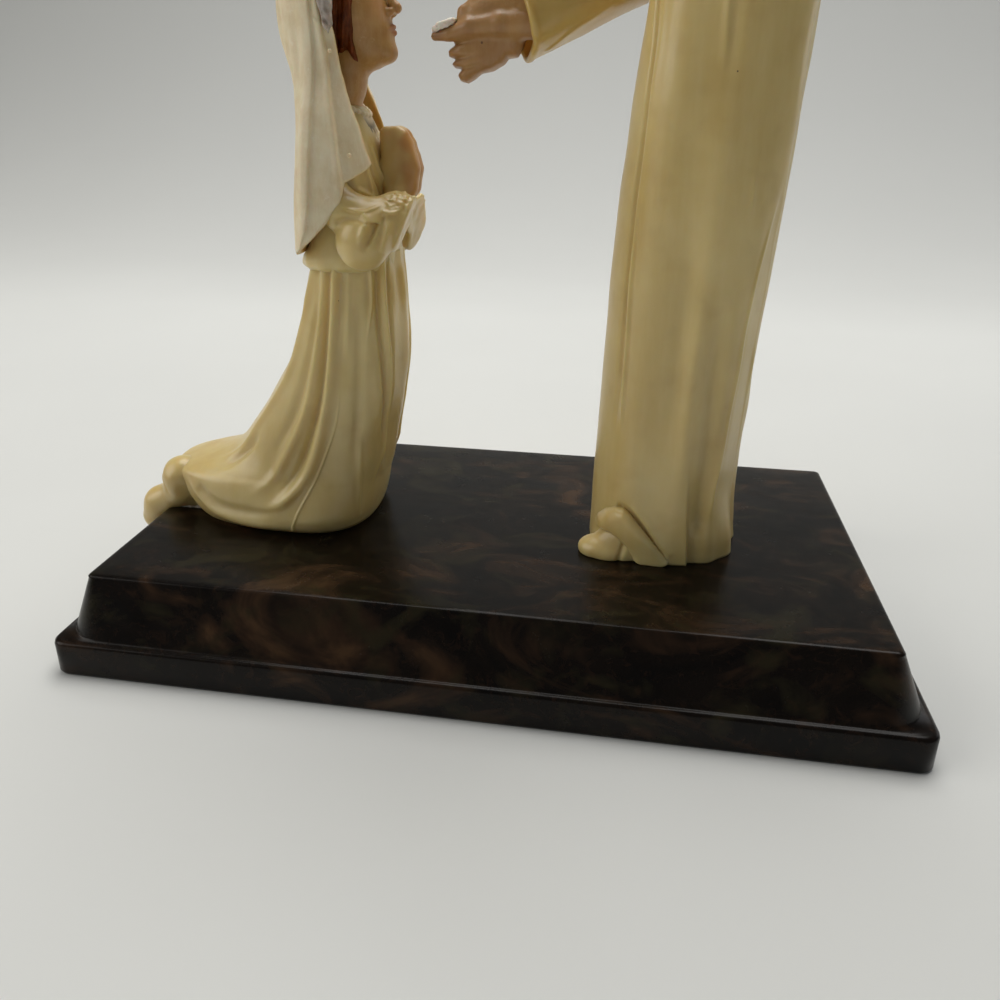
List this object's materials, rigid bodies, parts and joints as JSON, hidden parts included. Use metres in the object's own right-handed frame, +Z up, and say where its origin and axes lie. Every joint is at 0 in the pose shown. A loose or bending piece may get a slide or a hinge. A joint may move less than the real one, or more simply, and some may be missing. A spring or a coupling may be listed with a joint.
{
  "type": "communion cake topper",
  "caption": "Cake topper: a kneeling veiled girl with pressed palms faces a standing robed figure that holds out a host, both cemented on a stepped marbled plinth.",
  "frame": {"origin": "centre of the plinth's underside, in the plane that the topper rests on", "axes": "+Z up; +X along the plinth's long side, from the kneeling girl to the standing figure; -Y towards the side that is in the picture"},
  "size_m": [0.12, 0.066, 0.165],
  "materials": {
    "marbled_plastic": "near-black brown thermoset with reddish and olive marbling, polished",
    "cream_plastic": "aged cream moulded plastic, slightly translucent, glossy",
    "veil_paint": "brushed off-white paint over cream plastic",
    "lace_paint": "off-white paint on a beaded edge",
    "flesh_paint": "aged flesh-coloured lacquer over cream plastic",
    "girl_hair_paint": "auburn paint",
    "figure_hair_paint": "dark brown paint",
    "host_paint": "off-white paint",
    "gilt_paint": "worn gilt paint on plastic"
  },
  "bodies": {
    "root": {"base_shell": "marbled_plastic", "girl_skirt_front": "cream_plastic", "girl_skirt_back": "cream_plastic", "girl_bodice": "cream_plastic", "girl_right_sleeve": "cream_plastic", "girl_right_foot": "cream_plastic", "girl_left_sleeve": "cream_plastic", "girl_left_foot": "cream_plastic", "girl_hands": "flesh_paint", "girl_head": "flesh_paint", "girl_hair": "girl_hair_paint", "girl_collar": "cream_plastic", "girl_veil": "veil_paint", "girl_veil_trim": "lace_paint", "figure_robe_left": "cream_plastic", "figure_robe_right": "cream_plastic", "figure_left_shoe": "cream_plastic", "figure_right_shoe": "cream_plastic", "figure_torso": "cream_plastic", "figure_right_sleeve": "cream_plastic", "figure_left_sleeve": "cream_plastic", "figure_right_hand": "flesh_paint", "figure_left_hand": "flesh_paint", "host": "host_paint", "chalice": "gilt_paint", "figure_head": "flesh_paint", "figure_hair": "figure_hair_paint", "figure_beard": "figure_hair_paint"}
  },
  "joints": []
}
